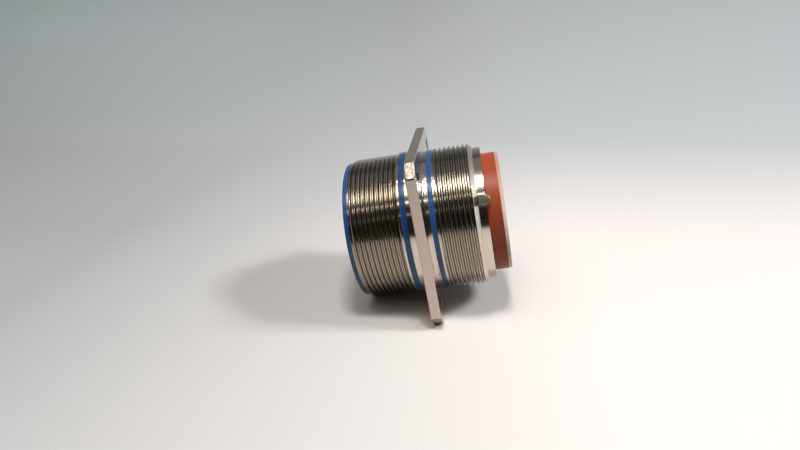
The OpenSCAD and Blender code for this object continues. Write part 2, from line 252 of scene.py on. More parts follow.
FLANGE_HALF, CORNER_CUT = 25.4, 2.7
FLANGE_CORNER_R = FLANGE_HALF * 2 ** 0.5 - CORNER_CUT
FLANGE_BREAK, FLANGE_RIM = 0.65, 0.36
SIDE_STEPS, BREAK_STEPS, SKIN_STEPS, FACE_STEPS = 4, 6, 7, 6
HOLE_AT, HOLE_R, HOLE_CHAMFER = 39.67 / 2, 3.73 / 2, 0.14
HOLE_RAY_SHARES = (0, 0.2, 0.55, 1)
PATCH_COLUMNS = (24, 36)


def flange_outline(inset):
    """Half of a corner of the flange's outline, from the edge of the corner's patch to the middle of the
    corner, moved inwards by an inset: the straight side, the eased break and the bar's own round skin. Two
    arrays, y and z."""
    centre_y = FLANGE_HALF - FLANGE_BREAK
    centre_z = ((FLANGE_CORNER_R - FLANGE_BREAK) ** 2 - centre_y ** 2) ** 0.5
    skin_from = np.arctan2(centre_z, centre_y)
    start = FLANGE_HALF * np.tan(TURN[PATCH_COLUMNS[0]])
    side = np.linspace(start, centre_z, SIDE_STEPS + 1)[:-1]
    bend = np.linspace(0, skin_from, BREAK_STEPS + 1)
    skin = np.linspace(skin_from, np.pi / 4, SKIN_STEPS + 1)[1:]
    y = np.concatenate([
        np.full(SIDE_STEPS, FLANGE_HALF - inset),
        centre_y + (FLANGE_BREAK - inset) * np.cos(bend),
        (FLANGE_CORNER_R - inset) * np.cos(skin),
    ])
    z = np.concatenate([
        side,
        centre_z + (FLANGE_BREAK - inset) * np.sin(bend),
        (FLANGE_CORNER_R - inset) * np.sin(skin),
    ])
    return y, z


def quarter_outline(inset):
    """A quarter of the outline, counted round from the middle of one side to the middle of the next: the
    plain part of the side, half the corner, and both mirrored in the diagonal."""
    y, z = flange_outline(inset)
    plain_z = FLANGE_HALF * np.tan(TURN[:PATCH_COLUMNS[0]])
    plain_y = np.full(PATCH_COLUMNS[0], FLANGE_HALF - inset)
    half = np.stack([np.concatenate([plain_y, y]), np.concatenate([plain_z, z])], -1)
    return np.concatenate([half, half[-2::-1, ::-1]])


def flat(points, x):
    """Points of the plane across the axis, lifted to x."""
    return np.concatenate([np.full(points.shape[:-1] + (1,), x), points], -1)


def quarter_face(x, inner_r):
    """A quarter of the flange's face at x, as three grids: straight lines from the barrel's circle to the
    side left and right of the corner, and between them rays from the screw hole's edge to the patch's
    border."""
    outline = quarter_outline(FLANGE_RIM)
    first, last = PATCH_COLUMNS
    circle = inner_r * np.stack([np.cos(TURN[:QUARTER + 1]), np.sin(TURN[:QUARTER + 1])], -1)
    share = np.linspace(0, 1, FACE_STEPS + 1)[:, None, None]
    beside = circle[:first + 1] * (1 - share) + outline[:first + 1] * share
    border = np.concatenate([
        circle[first:last + 1][::-1], beside[1:, first], outline[first + 1:-first - 1],
        beside[:, first, ::-1][::-1][:-1],
    ])
    hole = np.array([HOLE_AT, HOLE_AT])
    ray = border - hole
    edge = hole + (HOLE_R + HOLE_CHAMFER) * ray / np.linalg.norm(ray, axis=1, keepdims=True)
    share = np.array(HOLE_RAY_SHARES)[:, None, None]
    around = edge * (1 - share) + border * share
    around = np.concatenate([around, around[:, :1]], 1)
    return [flat(g, x) for g in (beside, beside[:, ::-1, ::-1], around)]


def hole_wall(around, steps):
    """Wall of the screw hole that meets a face's rays: the edge where they start, at each step's x and with
    the radius grown by the step."""
    edge = around[0, :, 1:] - HOLE_AT
    edge /= np.linalg.norm(edge, axis=1, keepdims=True)
    return np.stack([flat(HOLE_AT + edge * (HOLE_R + grown), x) for x, grown in steps])


ease = np.radians([0, 22.5, 45, 67.5, 90])
rim_x = FLANGE_RIM * (1 - np.cos(ease))
rim_in = FLANGE_RIM * (1 - np.sin(ease))
front_face = quarter_face(FLANGE_FRONT, COUPLING_LAND_R + FILLET)
back_face = quarter_face(FLANGE_BACK, RELIEF_R + FILLET)
rim = np.stack([
    flat(quarter_outline(inset), x)
    for x, inset in [*zip(FLANGE_FRONT + rim_x, rim_in), *zip(FLANGE_BACK - rim_x[::-1], rim_in[::-1])]
])
front_wall = hole_wall(front_face[2], (
    (FLANGE_FRONT, HOLE_CHAMFER), (FLANGE_FRONT + HOLE_CHAMFER, 0), (FLANGE_BACK - HOLE_CHAMFER, 0)))
back_wall = hole_wall(back_face[2], ((FLANGE_BACK - HOLE_CHAMFER, 0), (FLANGE_BACK, HOLE_CHAMFER)))
for grids, finish in ((front_face + back_face, TURNED), ((rim, front_wall, back_wall), MILLED)):
    for grid in grids:
        for angle in np.arange(4) * np.pi / 2:
            c, s = round(np.cos(angle)), round(np.sin(angle))
            turned = grid @ np.array([[1, 0, 0], [0, c, s], [0, -s, c]], float)
            shell_parts.append(grid_part(turned, finish))

KEY_ANGLE, KEY_HALF, KEY_FRONT, KEY_ROUND_X, KEY_TOP_R, KEY_FOOT_R = 150, 1.5, 15.3, 17.0, 21.6, 19.5
KEY_EASE, KEY_CORNER_R, KEY_RIDGE_FROM = 0.14, 0.25, 0.6
KEY_ROUND_STEPS, KEY_CORNER_STEPS = 24, 4


def key_outline(inset):
    """Outline of the key seen from above, moved inwards by an inset: a square front with eased corners and a
    half-round end. Columns are x and the place across."""
    across = KEY_HALF - inset
    round_end = np.linspace(-np.pi / 2, np.pi / 2, KEY_ROUND_STEPS + 1)
    corner = np.linspace(0, np.pi / 2, KEY_CORNER_STEPS + 1)
    bend_x = KEY_FRONT + inset + KEY_CORNER_R
    bend_across = across - KEY_CORNER_R
    along = np.concatenate([
        KEY_ROUND_X + across * np.cos(round_end),
        bend_x - KEY_CORNER_R * np.sin(corner),
        bend_x - KEY_CORNER_R * np.cos(corner),
    ])
    side = np.concatenate([
        across * np.sin(round_end),
        bend_across + KEY_CORNER_R * np.cos(corner),
        -bend_across - KEY_CORNER_R * np.sin(corner),
    ])
    return np.stack([np.append(along, along[0]), np.append(side, side[0])], -1)


key_edge = zip(KEY_TOP_R - KEY_EASE * (1 - np.sin(ease)), KEY_EASE * (1 - np.cos(ease)))
key_rows = [np.insert(key_outline(inset), 2, r, axis=1) for r, inset in [(KEY_FOOT_R, 0), *key_edge]]
ridge = key_rows[0] * [1, 0, 1]
ridge[:, 0] = np.clip(ridge[:, 0], KEY_FRONT + KEY_RIDGE_FROM, KEY_ROUND_X)
key = np.stack([ridge, *key_rows, ridge * [1, 0, 0] + [0, 0, KEY_TOP_R]])
tilt = np.radians(KEY_ANGLE)
out, over = np.array([0, np.cos(tilt), np.sin(tilt)]), np.array([0, -np.sin(tilt), np.cos(tilt)])
key = key[..., :1] * [1, 0, 0] + key[..., 1:2] * over + key[..., 2:] * out
shell_parts.append(grid_part(key, TURNED))


class Nodes:
    """A node tree under construction, with the place that its patterns are laid out by."""

    def __init__(self, tree, space):
        self.tree = tree
        self.place = tree.nodes.new("ShaderNodeTexCoord").outputs[space]

    def put(self, socket, value):
        """A value that is a socket is linked to the input, and anything else is written on it."""
        if isinstance(value, bpy.types.NodeSocket):
            self.tree.links.new(value, socket)
        else:
            socket.default_value = value

    def add(self, kind, inputs, **options):
        """A new node of a kind, with its options set and its inputs filled."""
        node = self.tree.nodes.new("ShaderNode" + kind)
        for name, value in options.items():
            setattr(node, name, value)
        for name, value in inputs.items():
            self.put(node.inputs[name], value)
        return node

    def span(self, value, low, high, start=0.0, end=1.0, rise="LINEAR"):
        """Value between start and end, laid out from low to high."""
        inputs = {"Value": value, "From Min": start, "From Max": end, "To Min": low, "To Max": high}
        return self.add("MapRange", inputs, interpolation_type=rise).outputs[0]

    def blend(self, share, first, second):
        """Colour between first, at share 0, and second, at share 1."""
        node = self.add("Mix", {0: share}, data_type="RGBA")
        for number, colour in ((6, first), (7, second)):
            is_socket = isinstance(colour, bpy.types.NodeSocket)
            self.put(node.inputs[number], colour if is_socket else (*colour, 1))
        return node.outputs[2]

    def total(self, first, second, how="ADD"):
        """Sum of two values, or what another operation makes of them."""
        return self.add("Math", {0: first, 1: second}, operation=how).outputs[0]

    def looked_at(self):
        """1 for what the camera sees, straight or in a reflection or refraction, and 0 for falling light."""
        rays = self.add("LightPath", {}).outputs
        seen = self.total(rays["Is Camera Ray"], rays["Is Glossy Ray"])
        return self.total(seen, rays["Is Transmission Ray"])


class Finish(Nodes):
    """A material whose patterns lie in the connector's own frame."""

    def __init__(self, name):
        self.material = bpy.data.materials.new(name)
        self.material.use_nodes = True
        super().__init__(self.material.node_tree, "Object")

    def surface(self, **inputs):
        """Fills the shader's inputs, named with _ for a space."""
        shader = self.tree.nodes["Principled BSDF"]
        for name, value in inputs.items():
            self.put(shader.inputs[name.replace("_", " ")], value)

    def span_mm(self, value, low, high, limits):
        """Value in metres between two limits in millimetres, laid out from low to high."""
        return self.span(value, low, high, limits[0] * MM, limits[1] * MM)

    def noise(self, size, detail=3.0, stretch=(1, 1, 1)):
        """Noise of features about size millimetres across, made longer along an axis by its stretch."""
        scale = [1 / (size * MM * s) for s in stretch]
        place = self.add("Mapping", {"Vector": self.place, "Scale": scale}).outputs[0]
        return self.add("TexNoise", {"Vector": place, "Scale": 1.0, "Detail": detail}).outputs[0]

    def relief(self, height, depth, strength=1.0, under=None):
        """Bump of a height from 0 to 1 that stands depth millimetres high, on top of another bump."""
        inputs = {"Height": height, "Distance": depth * MM, "Strength": strength}
        if under is not None:
            inputs["Normal"] = under
        return self.add("Bump", inputs).outputs[0]

    def attribute(self, name):
        """A value that the mesh carries on its points."""
        return self.add("Attribute", {}, attribute_name=name).outputs["Fac"]

    def axes(self):
        """The place along X, Y and Z, in metres."""
        return self.add("SeparateXYZ", {"Vector": self.place}).outputs

    def length(self, vector):
        """Length of a vector."""
        return self.add("VectorMath", {0: vector}, operation="LENGTH").outputs["Value"]

    def off_axis(self):
        """Distance from the connector's axis, in metres."""
        across = self.add("VectorMath", {0: self.place, 1: (0, 1, 1)}, operation="MULTIPLY")
        return self.length(across.outputs[0])


NICKEL_BRIGHT = (0.58, 0.515, 0.45), (0.67, 0.60, 0.53)
NICKEL_DULLED = (0.36, 0.32, 0.27), (0.43, 0.385, 0.325)
# Colour of the thread's flanks: painted shade in the thread's grooves, darker than the flats.
NICKEL_FLANK_SHADE = (0.33, 0.295, 0.24)
CUT_ROUGHER, DRESSED_ROUGHER = 0.03, 0.20

turned_nickel = Finish("turned_nickel")
smudge = turned_nickel.noise(6.0, 4.0)
marks = turned_nickel.noise(0.10, 2.0, (1, 160, 160))
cut = turned_nickel.attribute("cut")
flank = turned_nickel.attribute("flank")
dressed = turned_nickel.attribute("dressed")
bright = turned_nickel.blend(smudge, *NICKEL_BRIGHT)
dulled = turned_nickel.blend(smudge, *NICKEL_DULLED)
rough = turned_nickel.span(turned_nickel.total(smudge, turned_nickel.noise(0.9, 3.0), "MULTIPLY"), 0.12, 0.20)
rougher = turned_nickel.total(
    turned_nickel.total(cut, CUT_ROUGHER, "MULTIPLY"),
    turned_nickel.total(dressed, DRESSED_ROUGHER, "MULTIPLY"))
turned_nickel.surface(
    Base_Color=turned_nickel.blend(flank, turned_nickel.blend(cut, bright, dulled), NICKEL_FLANK_SHADE),
    Metallic=1.0,
    Roughness=turned_nickel.total(rough, rougher),
    Normal=turned_nickel.relief(marks, 0.0012, 0.5),
)

# The milled finish covers the flange's edges and the screw holes. The bar's skin is left as a rounded tile on
# each corner: a distance beyond a core of two half lengths, the one along the axis and the one round the rim.
# A dark line of painted shade runs just outside each tile, and the screw holes' walls are painted dark as
# shade.
MILLED_PLAIN = (0.50, 0.43, 0.37), (0.57, 0.495, 0.43)
SKIN_SPOTTED = (0.28, 0.23, 0.19), (0.53, 0.455, 0.38)
# Dark colour of the painted shade along the tiles' borders and in the screw holes.
SHADE_DARK = (0.10, 0.085, 0.07)
TILE_CORE_X, TILE_CORE_ROUND = 0.28, 1.40
TILE_EDGE, BORDER_SHADE_RISE, BORDER_SHADE_FALL = (1.08, 1.19), (1.11, 1.19), (1.42, 1.58)
CORNER_FROM_R, HOLE_SHADE_R = (31.2, 31.4), (HOLE_R + 0.10, HOLE_R + 0.16)

milled_nickel = Finish("milled_nickel")


def milled_beyond(value, core):
    """How far a value in metres lies beyond a core in millimetres, and 0 within it."""
    return milled_nickel.total(milled_nickel.total(value, core * MM, "SUBTRACT"), 0.0, "MAXIMUM")


to_middle = (-(FLANGE_FRONT + FLANGE_BACK) / 2 * MM, 0, 0)
from_middle = milled_nickel.add("VectorMath", {0: milled_nickel.place, 1: to_middle}, operation="ADD")
from_middle = milled_nickel.add("VectorMath", {0: from_middle.outputs[0]}, operation="ABSOLUTE")
from_middle = milled_nickel.add("SeparateXYZ", {"Vector": from_middle.outputs[0]}).outputs
off_diagonal = milled_nickel.total(from_middle["Y"], from_middle["Z"], "SUBTRACT")
round_way = milled_nickel.total(milled_nickel.total(off_diagonal, 0.0, "ABSOLUTE"), 0.5 ** 0.5, "MULTIPLY")
beyond = milled_nickel.add("CombineXYZ", {
    "X": milled_beyond(from_middle["X"], TILE_CORE_X),
    "Y": milled_beyond(round_way, TILE_CORE_ROUND),
})
beyond = milled_nickel.length(beyond.outputs[0])
corner = milled_nickel.span_mm(milled_nickel.off_axis(), 0.0, 1.0, CORNER_FROM_R)
skin = milled_nickel.total(milled_nickel.span_mm(beyond, 1.0, 0.0, TILE_EDGE), corner, "MULTIPLY")
# Painted shade: a dark line just outside each tile's border, where the skin meets the milled face.
border_shade = milled_nickel.total(
    milled_nickel.span_mm(beyond, 0.0, 1.0, BORDER_SHADE_RISE),
    milled_nickel.span_mm(beyond, 1.0, 0.0, BORDER_SHADE_FALL), "MULTIPLY")
border_shade = milled_nickel.total(border_shade, corner, "MULTIPLY")
# Painted shade in the screw holes: their walls and chamfers are coloured dark.
from_hole = milled_nickel.add("CombineXYZ", {
    "X": milled_nickel.total(from_middle["Y"], HOLE_AT * MM, "SUBTRACT"),
    "Y": milled_nickel.total(from_middle["Z"], HOLE_AT * MM, "SUBTRACT"),
})
hole_shade = milled_nickel.span_mm(milled_nickel.length(from_hole.outputs[0]), 1.0, 0.0, HOLE_SHADE_R)
grain = milled_nickel.noise(0.22, 3.0)
pits = milled_nickel.span(milled_nickel.noise(0.75, 3.0), 0.0, 1.0, 0.35, 0.65)
cloud = milled_nickel.noise(5.0, 3.0)
plain_or_skin = milled_nickel.blend(
    skin, milled_nickel.blend(cloud, *MILLED_PLAIN), milled_nickel.blend(pits, *SKIN_SPOTTED))
milled_nickel.surface(
    Base_Color=milled_nickel.blend(milled_nickel.total(border_shade, hole_shade, "MAXIMUM"), plain_or_skin, SHADE_DARK),
    Metallic=1.0,
    Roughness=milled_nickel.total(
        milled_nickel.span(cloud, 0.26, 0.38), milled_nickel.total(skin, 0.14, "MULTIPLY")),
    Normal=milled_nickel.relief(
        milled_nickel.total(pits, skin, "MULTIPLY"), 0.06, 1.0, milled_nickel.relief(grain, 0.0022, 0.5)),
)

# Three values on the shell's points steer the turned finish: cut is 1 on the threads and the key, flank is 1
# on the sides of a thread between its flats, where the colour is painted darker as shade in the thread's
# grooves, and dressed is how far the cone and the key were rubbed dull.
CUT_FADE, CUT_FROM_R, CUT_PAST_CONE = 0.4, 21.1, 0.3
KEY_DRESSED, CONE_DRESSED, CONE_DRESSED_FADE = 0.60, 0.5, 0.1
ABOVE_NECK_R, ON_KEY_FROM = NECK_R + 0.05, KEY_FRONT - 0.1

shell = welded_piece("shell_plated", shell_parts, [turned_nickel.material, milled_nickel.material])
place = np.empty(3 * len(shell.data.vertices))
shell.data.vertices.foreach_get("co", place)
x, y, z = place.reshape(-1, 3).T / MM
r = np.hypot(y, z)
fall = thread_fall(x, np.arctan2(z, y), np.where(x < 0, COUPLING_START, ACCESSORY_START))
from_end = np.where(
    x < 0,
    np.minimum(COUPLING_BACK - x, x - FRONT_X),
    np.minimum(x - ACCESSORY_GROOVE[1], CONE_FRONT + CUT_PAST_CONE - x),
)
on_thread = smooth_step(from_end / CUT_FADE) * (r > CUT_FROM_R)
on_key = (x > ON_KEY_FROM) & (r > ABOVE_NECK_R)
on_cone = smooth_step((x - CONE_FRONT) / CONE_DRESSED_FADE) * (x < NECK_FRONT) * (r > ABOVE_NECK_R)
for name, value in (
    ("cut", np.maximum(on_thread, on_key)),
    ("flank", on_thread * np.clip(np.minimum(fall, THREAD_DEPTH - fall) / THREAD_EASE_DROP, 0, 1)),
    ("dressed", np.where(on_key, KEY_DRESSED, CONE_DRESSED * on_cone)),
):
    shell.data.attributes.new(name, "FLOAT", "POINT").data.foreach_set("value", value.astype(np.float32))
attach(shell, "root")
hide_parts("shell")


# Colour bands: three rings of glossy blue enamel, brushed into shallow grooves while the shell turned in a
# lathe, on the front lip and on the land each side of the flange. Each film is full in the middle and thins
# to its edges.
BAND_GAP, BAND_LIFT, BAND_SHARP = 0.006, 0.002, 60
BAND_ACROSS = np.array([0, 0, 0.015, 0.05, 0.2, 0.5, 0.8, 0.95, 0.985, 1, 1, 0])
BAND_FILM = np.array([0, 0.6, 0.80, 0.90, 0.97, 1, 0.97, 0.90, 0.80, 0.6, 0, 0])
ENAMEL_BLUE = (0.018, 0.072, 0.225), (0.029, 0.105, 0.295)

enamel = Finish("blue_enamel")
streak = enamel.noise(0.5, 3.0, (1, 30, 30))
enamel.surface(
    Base_Color=enamel.blend(streak, *ENAMEL_BLUE),
    Roughness=enamel.span(enamel.noise(2.5, 3.0), 0.09, 0.17),
    IOR=1.45,
    Normal=enamel.relief(streak, 0.004, 0.5, enamel.relief(enamel.noise(1.4, 2.0), 0.006, 0.4)),
)
for node, (front, back), radius in (
    ("lip_band", (FRONT_X, LIP_GROOVE_END), LIP_R),
    ("coupling_band", COUPLING_GROOVE, COUPLING_LAND_R),
    ("accessory_band", ACCESSORY_GROOVE, ACCESSORY_LAND_R),
):
    x = front + BAND_GAP + (back - front - 2 * BAND_GAP) * BAND_ACROSS
    r = radius - BAND_DEPTH + BAND_LIFT + (BAND_DEPTH - BAND_LIFT) * BAND_FILM
    rows = plain_rows(np.stack([x, r], -1))
    band = welded_piece(node + "_enamel", [grid_part(rows)], [enamel.material], sharp=BAND_SHARP)
    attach(band, "root")
    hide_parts(node)


# Front insert: a block of hard dark moulding compound that seats against the shell's web. Each contact has a
# hole with a funnelled mouth for the mating pin and a wider cavity behind it.
CONTACT_PITCH, FIRST_CONTACT_AT = 4.75, 90
CONTACTS_IN_RING = (1, 6, 12, 18)
HOLE_COLUMNS, RIM_COLUMNS = 28, 120
HOLE_TURN = np.linspace(0, 2 * np.pi, HOLE_COLUMNS + 1)
IN_HOLE_SHARE = 0.997
INSIDE_WITH_HOLES, SAME_POINT = 2, 1e-6
ring_of = np.repeat(np.arange(len(CONTACTS_IN_RING)), CONTACTS_IN_RING)
step_of = np.concatenate([np.arange(n) for n in CONTACTS_IN_RING])
angle_of = np.radians(FIRST_CONTACT_AT + step_of * 60 / np.maximum(ring_of, 1))
CONTACT_PLACES = CONTACT_PITCH * ring_of[:, None] * np.stack([np.cos(angle_of), np.sin(angle_of)], -1)


def hole_rows(profile):
    """The wall of every contact's hole: a profile of (x, radius) turned about each place in turn."""
    x, r = np.array(profile, float).T
    one = round_points(x[:, None], r[:, None], HOLE_TURN)
    return one + np.insert(CONTACT_PLACES, 0, 0, axis=1)[:, None, None]


def drilled_face(x, outer_r, hole_r):
    """Flat round face at x with a hole at every contact's place: triangles between the rim and the holes'
    edges, none of them crossing an edge. Those whose middle lies in a hole are left out."""
    rim = outer_r * np.stack([np.cos(TURN), np.sin(TURN)], -1)[:-1:COLUMNS // RIM_COLUMNS]
    one = np.stack([np.cos(HOLE_TURN), np.sin(HOLE_TURN)], -1)[:-1]
    loops = [rim, *(CONTACT_PLACES[:, None] + hole_r * one)]
    starts = np.cumsum([0] + [len(loop) for loop in loops])
    edges = []
    for loop, start in zip(loops, starts):
        n = np.arange(len(loop))
        edges.append(np.stack([n, np.roll(n, -1)], -1) + start)
    corners = [Vector(p) for p in np.concatenate(loops).tolist()]
    found = delaunay_2d_cdt(corners, np.concatenate(edges).tolist(), [], INSIDE_WITH_HOLES, SAME_POINT)
    points, faces = np.array(found[0]), np.array(found[2])
    from_places = np.linalg.norm(points[faces].mean(1)[:, None] - CONTACT_PLACES, axis=-1)
    return flat(points, x), faces[from_places.min(1) > IN_HOLE_SHARE * hole_r]


def block_parts(outline, hole):
    """Parts of a round block with a hole for each contact: its outer wall from a profile of (x, radius), the
    holes' walls from another, and the two end faces between them."""
    parts = [grid_part(plain_rows(outline)[:, ::COLUMNS // RIM_COLUMNS])]
    parts += [grid_part(wall) for wall in hole_rows(hole)]
    for end in (0, -1):
        x, outer_r = outline[end]
        parts.append((*drilled_face(x, outer_r, hole[end][1]), ONLY_FINISH))
    return parts


INSERT_DARK = (0.016, 0.015, 0.014), (0.030, 0.028, 0.026)
INSERT_OUTLINE = [
    (-10.5, 16.85), (-10.44, 16.99), (-10.3, 17.05), (-8.6, 17.05), (-8.6, 18.25), (-8.5, 18.35),
    (-0.7, 18.35), (-0.6, 18.25),
]
INSERT_HOLE = [
    (-10.5, 1.42), (-10.47, 1.35), (-10.05, 0.92), (-9.95, 0.9), (-8.9, 0.9), (-8.9, 1.355), (-0.6, 1.355),
]
insert_plastic = Finish("insert_plastic")
insert_plastic.surface(
    Base_Color=insert_plastic.blend(insert_plastic.noise(3.0, 4.0), *INSERT_DARK),
    Roughness=insert_plastic.span(insert_plastic.noise(0.7, 3.0), 0.36, 0.55),
    IOR=1.55,
    Normal=insert_plastic.relief(insert_plastic.noise(0.15, 2.0), 0.004, 0.5),
)
front_block = welded_piece(
    "front_insert_block", block_parts(INSERT_OUTLINE, INSERT_HOLE), [insert_plastic.material])
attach(front_block, "root")
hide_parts("front_insert")


# Contacts and what holds them: gold-plated crimp sockets, each in a bright steel hood, caught behind its
# collar by a bronze clip in the retention disc. A split steel ring keeps the stack in the shell. They keep
# their CAD shapes, since only glints of them show through the holes.
CONTACT_GOLD = (0.74, 0.50, 0.17), (0.86, 0.63, 0.27)
CLIP_BRONZE = (0.52, 0.36, 0.14), (0.68, 0.50, 0.22)
SPRING_STEEL = (0.50, 0.50, 0.50), (0.62, 0.62, 0.61)

contact_gold = Finish("contact_gold")
wash = contact_gold.noise(1.2, 3.0)
contact_gold.surface(
    Base_Color=contact_gold.blend(wash, *CONTACT_GOLD),
    Metallic=1.0,
    Roughness=contact_gold.span(wash, 0.16, 0.32),
    Normal=contact_gold.relief(contact_gold.noise(0.08, 2.0, (1, 20, 20)), 0.001, 0.5),
)
clip_bronze = Finish("clip_bronze")
tarnish = clip_bronze.noise(0.8, 3.0)
clip_bronze.surface(
    Base_Color=clip_bronze.blend(tarnish, *CLIP_BRONZE),
    Metallic=1.0,
    Roughness=clip_bronze.span(tarnish, 0.25, 0.42),
    Normal=clip_bronze.relief(clip_bronze.noise(0.1, 2.0), 0.001, 0.5),
)
spring_steel = Finish("spring_steel")
drawn = spring_steel.noise(0.12, 3.0, (1, 12, 12))
spring_steel.surface(
    Base_Color=spring_steel.blend(drawn, *SPRING_STEEL),
    Metallic=1.0,
    Roughness=spring_steel.span(drawn, 0.22, 0.40),
    Normal=spring_steel.relief(drawn, 0.001, 0.5),
)
finish_of = {name: contact_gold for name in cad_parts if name.startswith("contact_")}
finish_of["retention_clips"] = clip_bronze
finish_of["socket_hoods"] = spring_steel
finish_of["insert_ring"] = spring_steel
finish_of["retention_disc"] = insert_plastic
for name, finish in finish_of.items():
    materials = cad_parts[name].data.materials
    materials.clear()
    materials.append(finish.material)


# Grommet: a block of orange-red silicone moulded with one wire hole for each contact, pushed into the rear
# bore behind the ring. Its end tapers to a small round rim, and each hole has a funnel and two sealing ribs.
# A pale reflection is painted on the rim, strongest below, and fine pale dust specks lie over the rest.
SILICONE_RED = (0.32, 0.058, 0.022), (0.39, 0.080, 0.032)
# Pale colour of the dust specks and of the painted reflection on the rim.
SILICONE_DUST_AND_REFLECTION, DUST_SHARE = (0.86, 0.72, 0.64), 0.10
RIM_REFLECTION_FROM_X, RIM_REFLECTION_FROM_R, RIM_REFLECTION_Z = (21.40, 21.50), (17.4, 17.7), (6.0, 17.0)
RIM_REFLECTION_BELOW, RIM_REFLECTION_ABOVE = 0.92, 0.30
GROMMET_OUTLINE = [
    (5.4, 17.45), (5.5, 17.55), (6.5, 17.55), (6.5, 18.15), (6.6, 18.25), (21.42, 18.25), (21.46, 18.24),
    (22.24, 18.04), (22.36, 17.97), (22.40, 17.87),
]
GROMMET_HOLE = [
    (5.4, 1.35), (9.7, 1.35), (9.7, 0.9), (18.4, 0.9), (18.65, 0.78), (18.9, 0.9), (20.0, 0.9), (20.25, 0.78),
    (20.5, 0.9), (21.75, 0.9), (21.95, 0.96), (22.3, 1.31), (22.37, 1.40), (22.4, 1.50),
]

silicone = Finish("silicone_red")
bloom = silicone.noise(4.0, 4.0)
dust = silicone.span(silicone.noise(0.30, 2.0), 0.0, 1.0, 0.62, 0.78)
silicone_place = silicone.axes()
# Painted reflection: the tapered rim is painted pale, strongest below and weakest above.
rim_reflection = silicone.total(
    silicone.span_mm(silicone_place["X"], 0.0, 1.0, RIM_REFLECTION_FROM_X),
    silicone.span_mm(silicone.off_axis(), 0.0, 1.0, RIM_REFLECTION_FROM_R), "MULTIPLY")
rim_reflection = silicone.total(
    rim_reflection, silicone.span_mm(silicone_place["Z"], RIM_REFLECTION_BELOW, RIM_REFLECTION_ABOVE, RIM_REFLECTION_Z), "MULTIPLY")
dust_and_reflection = silicone.total(silicone.total(dust, DUST_SHARE, "MULTIPLY"), rim_reflection, "MAXIMUM")
silicone.surface(
    Base_Color=silicone.blend(dust_and_reflection, silicone.blend(bloom, *SILICONE_RED), SILICONE_DUST_AND_REFLECTION),
    Roughness=silicone.span(bloom, 0.32, 0.44),
    IOR=1.42,
    Specular_IOR_Level=0.30,
    Subsurface_Weight=0.06,
    Subsurface_Radius=(0.0012, 0.0005, 0.0003),
    Normal=silicone.relief(silicone.noise(0.18, 3.0), 0.006, 0.5, silicone.relief(bloom, 0.04, 0.4)),
)
grommet = welded_piece("grommet_silicone", block_parts(GROMMET_OUTLINE, GROMMET_HOLE), [silicone.material])
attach(grommet, "root")
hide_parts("grommet")


# Sweep: the pale paper that the connector lies on, which rises behind it in a wide curve. The connector rests
# on the flange's lower front edge and the front of its thread, so the paper leans by that angle in the
# connector's frame. Its tone falls off to the left and the back, as the photograph's does: this is painted
# light, brighter and warmer to the right, with a painted shadow near the camera.
LEAN = np.radians(9.6)
REST_POINT = np.array([FLANGE_FRONT, 0.0, -FLANGE_HALF])
REST_GAP = 0.02
FLOOR_NEAR, FLOOR_FAR, COVE_R, WALL_TOP, SWEEP_HALF = -420.0, 130.0, 620.0, 1000.0, 1300.0
FLOOR_ROWS, COVE_ROWS, SWEEP_COLUMNS = 15, 24, 21
PAPER_RIGHT, PAPER_LEFT = (0.885, 0.850, 0.845), (0.455, 0.485, 0.508)
PAPER_BACK_RIGHT, PAPER_BACK_LEFT = (0.612, 0.650, 0.683), (0.565, 0.598, 0.633)
PAPER_FAR_LEFT, PAPER_NEAR_SHADOW = (0.83, 0.95, 1.0), (0.68, 0.665, 0.65)
PAPER_FOR_LIGHT = (0.32, 0.32, 0.32)
ROOM_PALE = (0.42, 0.43, 0.435)
LEFTWARD_X, BACKWARD_Y, NEAR_SHADOW_Y = (50, -140), (50, 200), (-100, -220)
FAR_LEFT_X, FAR_BACK_Y, SIDEWAYS_X = (-40, -420), (180, 420), (500, 950)

sweep_along = np.array([np.cos(LEAN), 0, -np.sin(LEAN)])
sweep_up = np.array([np.sin(LEAN), 0, np.cos(LEAN)])
cove = np.linspace(0, np.pi / 2, COVE_ROWS + 1)[1:]
depth = np.concatenate([
    np.linspace(FLOOR_NEAR, FLOOR_FAR, FLOOR_ROWS), FLOOR_FAR + COVE_R * np.sin(cove), [FLOOR_FAR + COVE_R],
])
height = np.concatenate([np.zeros(FLOOR_ROWS), COVE_R * (1 - np.cos(cove)), [WALL_TOP]])
wide = np.linspace(-SWEEP_HALF, SWEEP_HALF, SWEEP_COLUMNS)
sweep_points = (
    REST_POINT - REST_GAP * sweep_up + wide[:, None, None] * sweep_along
    + depth[:, None] * np.array([0, 1.0, 0]) + height[:, None] * sweep_up
)
paper = Finish("pale_paper")
paper_place = paper.axes()
# Painted light: the paper is brighter and warmer to the right, darker to the left and the back, and paler and
# bluer at the far back left.
leftward = paper.span_mm(paper_place["X"], 0.0, 1.0, LEFTWARD_X)
backward = paper.span_mm(paper_place["Y"], 0.0, 1.0, BACKWARD_Y)
near_shadow = paper.span_mm(paper_place["Y"], 0.0, 1.0, NEAR_SHADOW_Y)
far_left = paper.total(
    paper.span_mm(paper_place["X"], 0.0, 1.0, FAR_LEFT_X),
    paper.span_mm(paper_place["Y"], 0.0, 1.0, FAR_BACK_Y), "MULTIPLY")
back_tone = paper.blend(leftward, PAPER_BACK_RIGHT, PAPER_BACK_LEFT)
back_tone = paper.blend(far_left, back_tone, PAPER_FAR_LEFT)
painted_light_tone = paper.blend(backward, paper.blend(leftward, PAPER_RIGHT, PAPER_LEFT), back_tone)
# Painted shadow: towards the camera the paper is darkened.
painted_light_tone = paper.blend(near_shadow, painted_light_tone, PAPER_NEAR_SHADOW)
seen = paper.looked_at()
